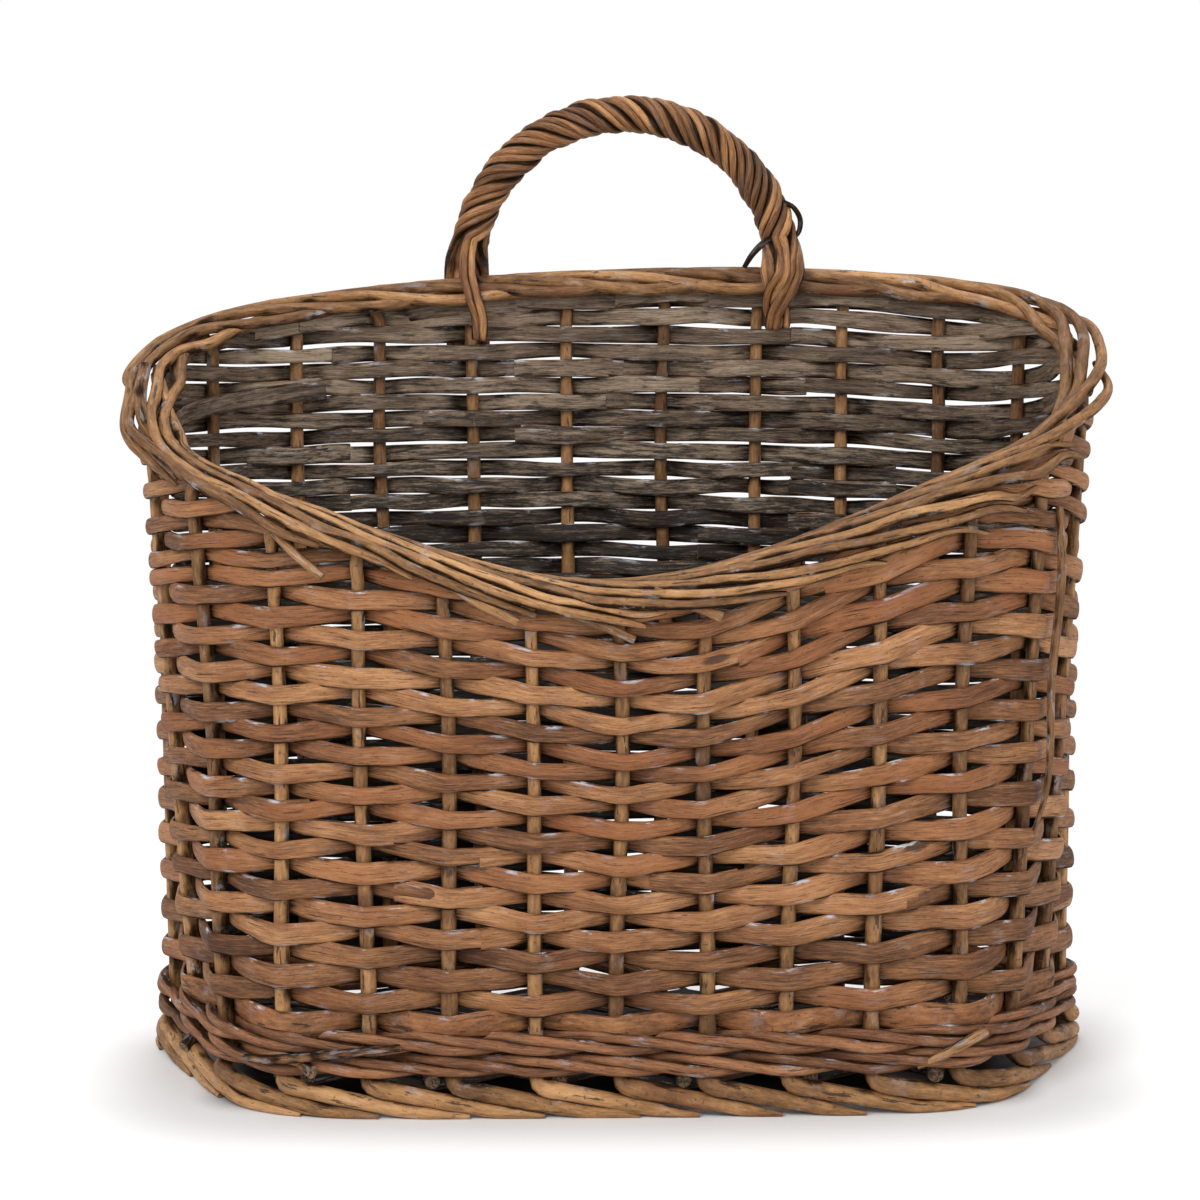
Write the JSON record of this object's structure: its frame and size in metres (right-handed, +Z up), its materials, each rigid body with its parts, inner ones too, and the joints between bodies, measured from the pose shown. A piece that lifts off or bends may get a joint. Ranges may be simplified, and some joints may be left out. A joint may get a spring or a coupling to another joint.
{
  "type": "hanging storage basket",
  "caption": "Flat-backed willow wall basket with a low curved front, woven split-strip walls, rolled rod borders and a twisted arch handle.",
  "frame": {"origin": "under the middle of the whole basket, on the surface that it stands on", "axes": "+Z up, +Y towards the wall that it hangs on, -Y towards the low front, +X to the right seen from the front"},
  "size_m": [0.3958, 0.1882, 0.3877],
  "materials": {
    "stake_willow": "satin willow bark, golden tan",
    "split_willow": "split willow, brown bark outside and grey-brown pith inside",
    "wale_willow": "thin brown willow rods",
    "base_willow": "dull grey-brown willow",
    "handle_willow": "twisted willow, brown"
  },
  "bodies": {
    "root": {"stake_01": "stake_willow", "stake_02": "stake_willow", "stake_03": "stake_willow", "stake_04": "stake_willow", "stake_05": "stake_willow", "stake_06": "stake_willow", "stake_07": "stake_willow", "stake_08": "stake_willow", "stake_09": "stake_willow", "stake_10": "stake_willow", "stake_11": "stake_willow", "stake_12": "stake_willow", "stake_13": "stake_willow", "stake_14": "stake_willow", "stake_15": "stake_willow", "stake_16": "stake_willow", "stake_17": "stake_willow", "stake_18": "stake_willow", "stake_19": "stake_willow", "stake_20": "stake_willow", "stake_21": "stake_willow", "stake_22": "stake_willow", "stake_23": "stake_willow", "stake_24": "stake_willow", "stake_25": "stake_willow", "wale_rod_1": "wale_willow", "wale_rod_2": "wale_willow", "wale_rod_3": "wale_willow", "side_weaver_01": "split_willow", "side_weaver_02": "split_willow", "side_weaver_03": "split_willow", "side_weaver_04": "split_willow", "side_weaver_05": "split_willow", "side_weaver_06": "split_willow", "side_weaver_07": "split_willow", "side_weaver_08": "split_willow", "side_weaver_09": "split_willow", "side_weaver_10": "split_willow", "side_weaver_11": "split_willow", "side_weaver_12": "split_willow", "back_weaver_1": "split_willow", "back_weaver_2": "split_willow", "back_weaver_3": "split_willow", "back_weaver_4": "split_willow", "back_weaver_5": "split_willow", "back_weaver_6": "split_willow", "back_weaver_7": "split_willow", "back_weaver_8": "split_willow", "base_stick_1": "base_willow", "base_stick_2": "base_willow", "base_stick_3": "base_willow", "base_stick_4": "base_willow", "base_stick_5": "base_willow", "base_stick_6": "base_willow", "base_weaver": "base_willow", "handle_strand_1": "handle_willow", "handle_strand_2": "handle_willow", "handle_strand_3": "handle_willow", "handle_strand_4": "handle_willow"}
  },
  "joints": []
}
